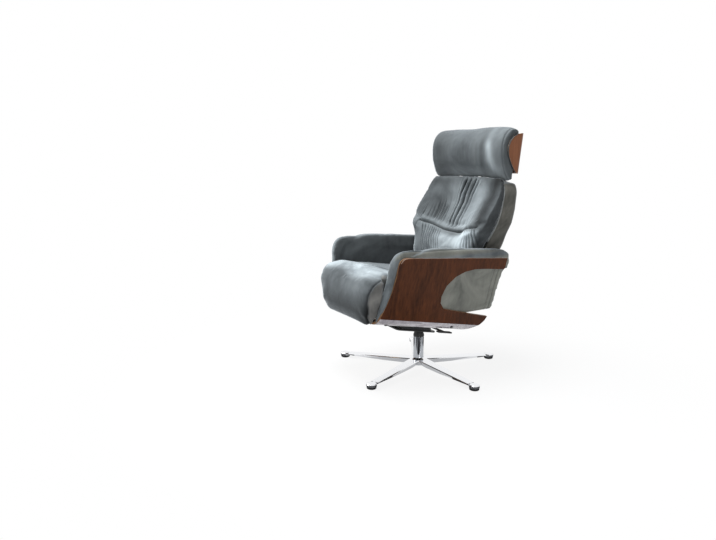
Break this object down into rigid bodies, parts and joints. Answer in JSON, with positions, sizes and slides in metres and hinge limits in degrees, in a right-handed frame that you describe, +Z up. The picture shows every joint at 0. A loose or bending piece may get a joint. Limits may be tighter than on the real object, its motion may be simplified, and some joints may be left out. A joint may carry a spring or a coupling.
{
  "type": "swivel recliner",
  "caption": "Upholstered recliner in bent-plywood side shells that turns on a star base; its back reclines on a gas spring and its headrest slides and tilts.",
  "frame": {"origin": "on the floor, under the middle of the chair's plan", "axes": "+Z up, the sitter faces -Y, +X is the sitter's left"},
  "size_m": [0.6916, 0.7525, 1.04],
  "materials": {
    "polished_aluminium": "polished casting",
    "chrome": "bright chrome plate",
    "black_steel": "satin black powder coat",
    "black_plastic": "fine moulded black",
    "zinc_steel": "zinc plated",
    "nylon": "natural nylon",
    "walnut": "lacquered walnut veneer on bent plywood",
    "pale_walnut": "lacquered walnut veneer, light",
    "birch_ply": "bare birch plywood",
    "velvet": "grey-blue velvet over foam",
    "velvet_shade": "olive-grey velvet stretched on a rigid pan"
  },
  "bodies": {
    "base": {"star_base": "polished_aluminium", "glide_1": "black_plastic", "glide_2": "black_plastic", "glide_3": "black_plastic", "glide_4": "black_plastic", "glide_5": "black_plastic", "column_tube": "chrome", "column_bolt": "zinc_steel", "thrust_washer": "nylon", "lower_bush": "nylon", "upper_bush": "nylon"},
    "seat": {"swivel_spindle": "zinc_steel", "spindle_collar": "black_plastic", "mechanism_plate": "black_steel", "mechanism_housing": "black_steel", "front_cross_member": "black_steel", "rear_cross_member": "black_steel", "seat_rail_left": "black_steel", "seat_rail_right": "black_steel", "seat_deck": "birch_ply", "shell_bolt_front_left": "black_steel", "shell_bolt_front_right": "black_steel", "shell_bolt_rear_left": "black_steel", "shell_bolt_rear_right": "black_steel", "bend_bolt_front_left": "black_steel", "bend_bolt_front_right": "black_steel", "bend_bolt_rear_left": "black_steel", "bend_bolt_rear_right": "black_steel", "side_shell_left": "walnut", "side_shell_right": "walnut", "arm_pad_left": "velvet", "arm_pad_right": "velvet", "seat_cushion": "velvet", "recline_pin_left": "zinc_steel", "recline_pin_right": "zinc_steel", "gas_spring_cylinder": "black_steel", "gas_spring_bracket": "black_steel", "gas_spring_front_pin": "zinc_steel"},
    "lever": {"recline_lever": "black_plastic"},
    "back": {"back_bar_left": "black_steel", "back_bar_right": "black_steel", "back_torque_tube": "black_steel", "gas_spring_rear_pin": "zinc_steel", "back_shell": "velvet_shade", "headrest_guide_plate": "black_steel", "headrest_guide_left": "black_plastic", "headrest_guide_right": "black_plastic", "back_cushion": "velvet"},
    "gas_rod": {"gas_spring_rod": "zinc_steel"},
    "headrest_slide": {"headrest_post_left": "chrome", "headrest_post_right": "chrome", "headrest_axle": "zinc_steel"},
    "headrest": {"headrest_clamp_left": "black_plastic", "headrest_clamp_right": "black_plastic", "headrest_shell": "pale_walnut", "headrest_cushion": "velvet"}
  },
  "joints": [
    {"name": "seat_swivel", "type": "hinge", "parent": "base", "child": "seat", "pos_m": [-0.02433, 0.01374, 0.1], "axis": [0, 0, 1], "continuous": true},
    {"name": "back_recline", "type": "hinge", "parent": "seat", "child": "back", "pos_m": [-0.02433, 0.14173, 0.3], "axis": [-1, 0, 0], "range_deg": [0, 30]},
    {"name": "gas_rod_slide", "type": "slide", "parent": "seat", "child": "gas_rod", "axis": [0, -0.9816, 0.1908], "range_m": [0, 0.033]},
    {"name": "lever_lift", "type": "hinge", "parent": "seat", "child": "lever", "pos_m": [-0.02433, 0.01927, 0.19847], "axis": [-1, 0, 0], "range_deg": [0, 12], "stiffness_Nm_per_rad": 0.6, "springref_deg": -20.05},
    {"name": "headrest_height", "type": "slide", "parent": "back", "child": "headrest_slide", "axis": [0, 0.1736, 0.9848], "range_m": [0, 0.06]},
    {"name": "headrest_tilt", "type": "hinge", "parent": "headrest_slide", "child": "headrest", "pos_m": [-0.02433, 0.30973, 0.905], "axis": [1, 0, 0], "range_deg": [-5, 9]}
  ],
  "couplings": [
    {"joint": "gas_rod_slide", "follows": "back_recline", "m_per_rad": 0.0621}
  ]
}
